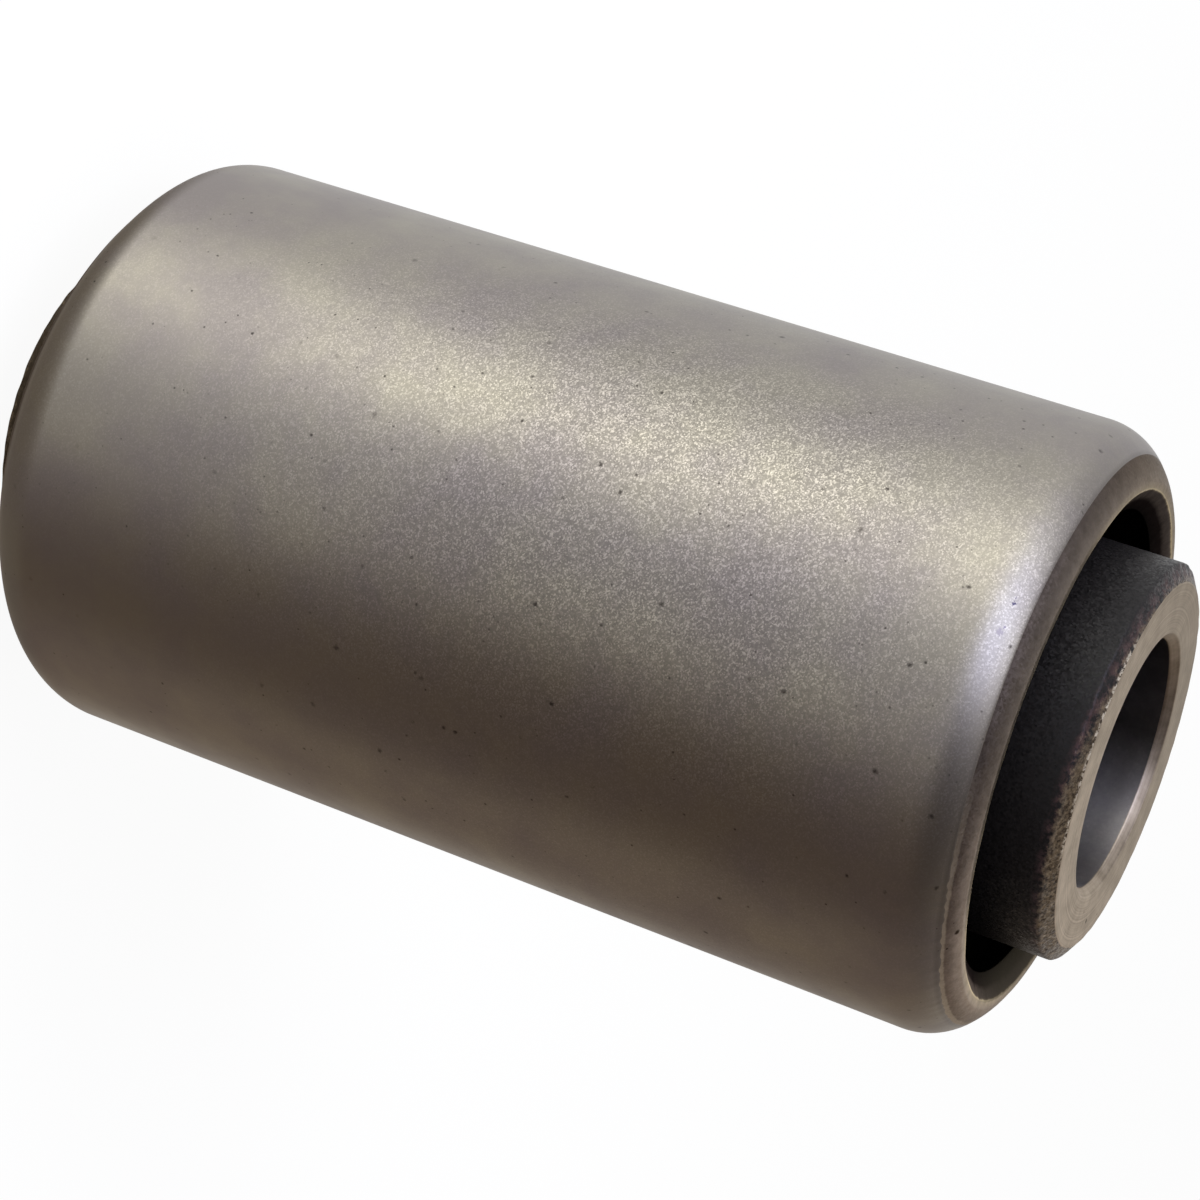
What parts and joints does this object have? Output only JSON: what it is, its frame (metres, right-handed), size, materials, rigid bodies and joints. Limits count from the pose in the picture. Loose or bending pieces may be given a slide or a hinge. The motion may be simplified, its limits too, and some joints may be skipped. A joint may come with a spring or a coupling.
{
  "type": "bonded suspension bushing",
  "caption": "Rubber-bonded bushing: a steel outer sleeve with turned-in ends, a rubber element, and a longer steel inner sleeve bored for a through bolt.",
  "frame": {"origin": "middle of the bore, half way between the two end faces", "axes": "+Z along the bore; the part stands on the lower end face of the inner sleeve, and both ends are alike"},
  "size_m": [0.04, 0.04, 0.0762],
  "materials": {
    "outer_steel": "drawn mild steel tube, grit-blasted dull grey, with a burnished lip where the die closed it",
    "rubber": "black moulded natural rubber, matt",
    "inner_steel": "cut steel tube, black bonding coat outside, bare tan-grey machined end faces and a grey bore"
  },
  "bodies": {
    "root": {"outer_sleeve": "outer_steel", "rubber_element": "rubber", "inner_sleeve": "inner_steel"}
  },
  "joints": []
}
